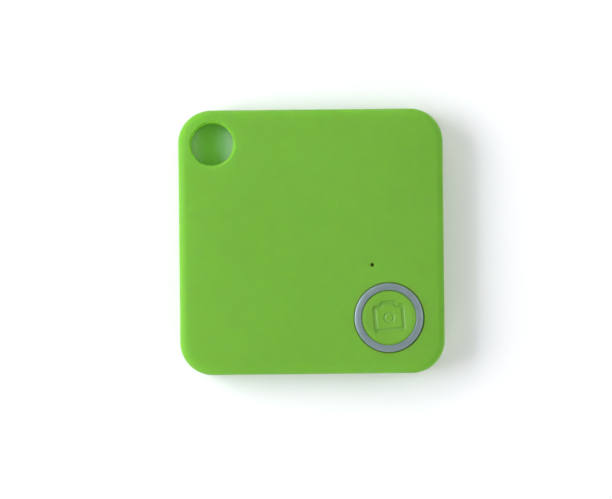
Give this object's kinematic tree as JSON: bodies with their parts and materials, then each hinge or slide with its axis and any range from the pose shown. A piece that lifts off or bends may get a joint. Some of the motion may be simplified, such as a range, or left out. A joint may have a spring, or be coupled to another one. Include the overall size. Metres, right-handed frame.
{
  "type": "bluetooth tracker tag",
  "caption": "Thin square key finder tag with round corners, a corner key-ring hole, a round push button in a metal trim ring, and a snap-fit front cover over a coin cell board.",
  "frame": {"origin": "middle of the rear face, which the tag lies on, in the plane of that face", "axes": "+Z out of the front face; +X and +Y along two sides, with the key-ring hole at -X +Y and the button at +X -Y"},
  "size_m": [0.037, 0.037, 0.0064],
  "materials": {
    "cover_plastic": "fine matte moulded plastic, lime green",
    "cap_plastic": "satin moulded plastic, lime green",
    "ring_metal": "satin silver, slightly blue",
    "board_laminate": "green solder mask over laminate",
    "black_resin": "matte black moulding compound",
    "tan_ceramic": "ceramic body with tinned ends",
    "copper": "bare copper",
    "clear_resin": "clear resin with phosphor",
    "white_tape": "white film",
    "steel": "bright nickel-plated steel",
    "cell_cup_metal": "bright nickel-plated steel",
    "cell_seal_plastic": "dark grey moulded seal",
    "foam": "black closed-cell foam",
    "brass": "rolled brass",
    "ceramic": "silvered piezo ceramic",
    "red_wire": "red insulation",
    "black_wire": "black insulation"
  },
  "bodies": {
    "rear_assembly": {"rear_cover": "cover_plastic", "main_board": "board_laminate", "switch_base": "black_resin", "switch_dome": "steel", "switch_frame": "steel", "radio_chip": "black_resin", "radio_crystal": "steel", "clock_crystal": "steel", "buzzer_driver": "black_resin", "buzzer_coil": "black_resin", "capacitor_1": "tan_ceramic", "capacitor_2": "tan_ceramic", "capacitor_3": "tan_ceramic", "capacitor_4": "tan_ceramic", "capacitor_5": "tan_ceramic", "resistor_1": "black_resin", "resistor_2": "black_resin", "resistor_3": "black_resin", "resistor_4": "black_resin", "antenna_trace": "copper", "led_base": "white_tape", "led_lens": "clear_resin", "board_screw_1": "steel", "board_screw_2": "steel", "board_screw_3": "steel", "cell_can": "steel", "cell_seal": "cell_seal_plastic", "cell_cup": "cell_cup_metal", "cell_clip_right": "steel", "cell_clip_top": "steel", "cell_spring": "steel", "buzzer_tape": "white_tape", "buzzer_plate": "brass", "buzzer_disc": "ceramic", "buzzer_lead_red": "red_wire", "buzzer_lead_black": "black_wire"},
    "front_cover": {"front_cover": "cover_plastic", "button_ring": "ring_metal", "cell_foam_pad": "foam"},
    "button": {"button_cap": "cap_plastic"},
    "switch_stem": {"switch_stem": "black_resin"}
  },
  "joints": [
    {"name": "front_cover_lift", "type": "slide", "parent": "rear_assembly", "child": "front_cover", "axis": [0, 0, 1], "range_m": [0, 0.02]},
    {"name": "button_press", "type": "slide", "parent": "front_cover", "child": "button", "axis": [0, 0, -1], "range_m": [0, 0.00025], "stiffness_N_per_m": 3000},
    {"name": "switch_stem_press", "type": "slide", "parent": "rear_assembly", "child": "switch_stem", "axis": [0, 0, -1], "range_m": [0, 0.00025], "deforming": ["switch_dome"]}
  ],
  "couplings": [
    {"joint": "switch_stem_press", "follows": "button_press", "ratio": 1}
  ]
}
